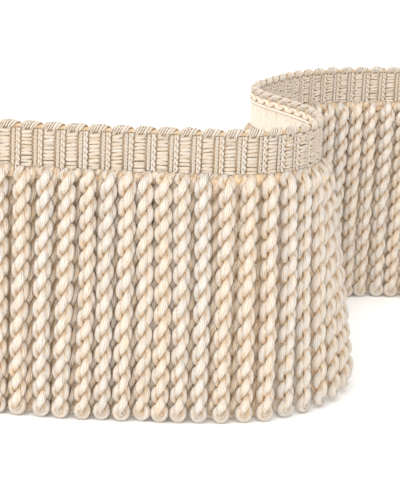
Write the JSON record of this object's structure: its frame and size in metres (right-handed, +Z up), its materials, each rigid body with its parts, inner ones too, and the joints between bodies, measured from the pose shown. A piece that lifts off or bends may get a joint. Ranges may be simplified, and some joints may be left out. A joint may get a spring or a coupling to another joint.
{
  "type": "bullion fringe trim",
  "caption": "Length of cream bullion fringe standing in an S: a woven, ribbed heading with a corded top edge over a skirt of twisted two-ply ropes.",
  "frame": {"origin": "centre of the bounding box in plan, on the floor the rope ends stand on", "axes": "+Z up from the rope ends to the heading, -Y the side that the front run's right side faces, +X towards the turn at the front run's end"},
  "size_m": [0.18, 0.1939, 0.1],
  "materials": {
    "heading": "woven cotton, matt, cream",
    "skirt": "twisted cotton rope, matt, cream"
  },
  "bodies": {
    "root": {"heading": "heading", "skirt_01": "skirt", "skirt_02": "skirt", "skirt_03": "skirt", "skirt_04": "skirt", "skirt_05": "skirt", "skirt_06": "skirt", "skirt_07": "skirt", "skirt_08": "skirt", "skirt_09": "skirt", "skirt_10": "skirt", "skirt_11": "skirt"}
  },
  "joints": []
}
